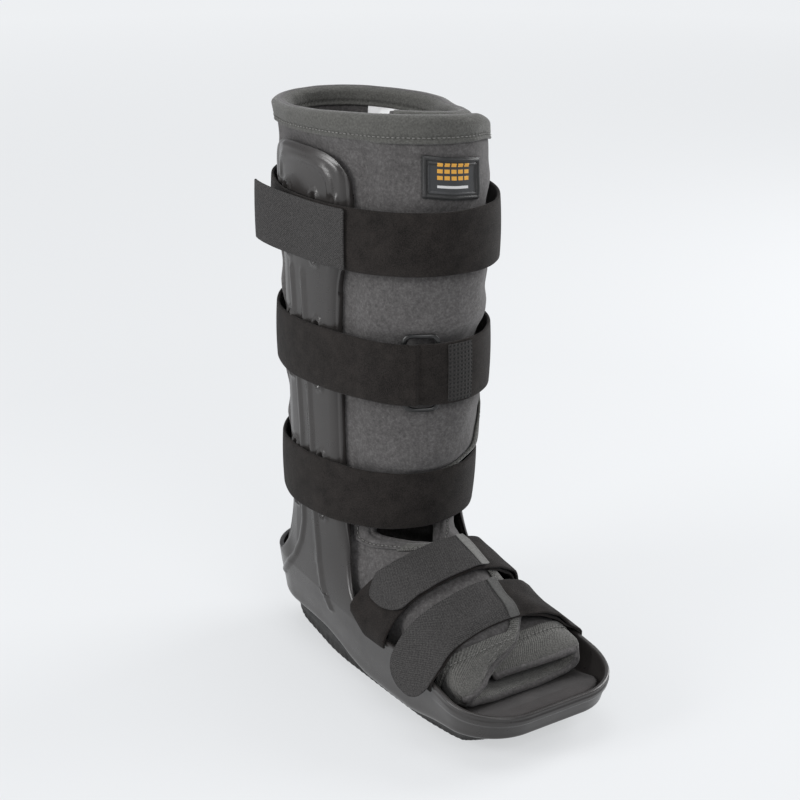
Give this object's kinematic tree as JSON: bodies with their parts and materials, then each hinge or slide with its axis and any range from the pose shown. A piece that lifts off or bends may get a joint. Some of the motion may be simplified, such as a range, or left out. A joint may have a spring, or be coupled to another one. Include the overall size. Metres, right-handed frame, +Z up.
{
  "type": "medical walking boot",
  "caption": "Tall orthopaedic walking boot: moulded rocker-sole shell with two uprights, padded wrap liner with an open toe, and hook-and-loop leg and foot straps.",
  "frame": {"origin": "middle of the bounding box in plan, on the ground under the sole", "axes": "+Z up along the leg, toe towards -Y, heel towards +Y, the closing ends of the straps on -X"},
  "size_m": [0.1442, 0.3088, 0.4123],
  "materials": {
    "outsole": "matte moulded tread rubber",
    "shell": "satin moulded plastic",
    "footbed": "matte closed foam",
    "liner": "brushed laminated foam cloth",
    "binding": "twill tape",
    "strap": "brushed loop webbing",
    "hook_tab": "woven hook tape",
    "frame_ring": "moulded plastic",
    "patch": "moulded soft rubber",
    "care_label": "woven satin tape"
  },
  "bodies": {
    "root": {"outsole": "outsole", "shell": "shell", "footbed": "footbed", "liner_foot": "liner", "liner_leg": "liner", "collar_binding": "binding", "outer_flap_binding": "binding", "inner_flap_binding": "binding", "toe_flap_binding": "binding", "strap_top": "strap", "strap_middle": "strap", "strap_lower": "strap", "hook_tab_top": "hook_tab", "foot_tab_upper": "hook_tab", "foot_tab_lower": "hook_tab", "foot_strap_upper": "strap", "foot_strap_lower": "strap", "strap_frame": "frame_ring", "patch": "patch", "care_label": "care_label"}
  },
  "joints": []
}
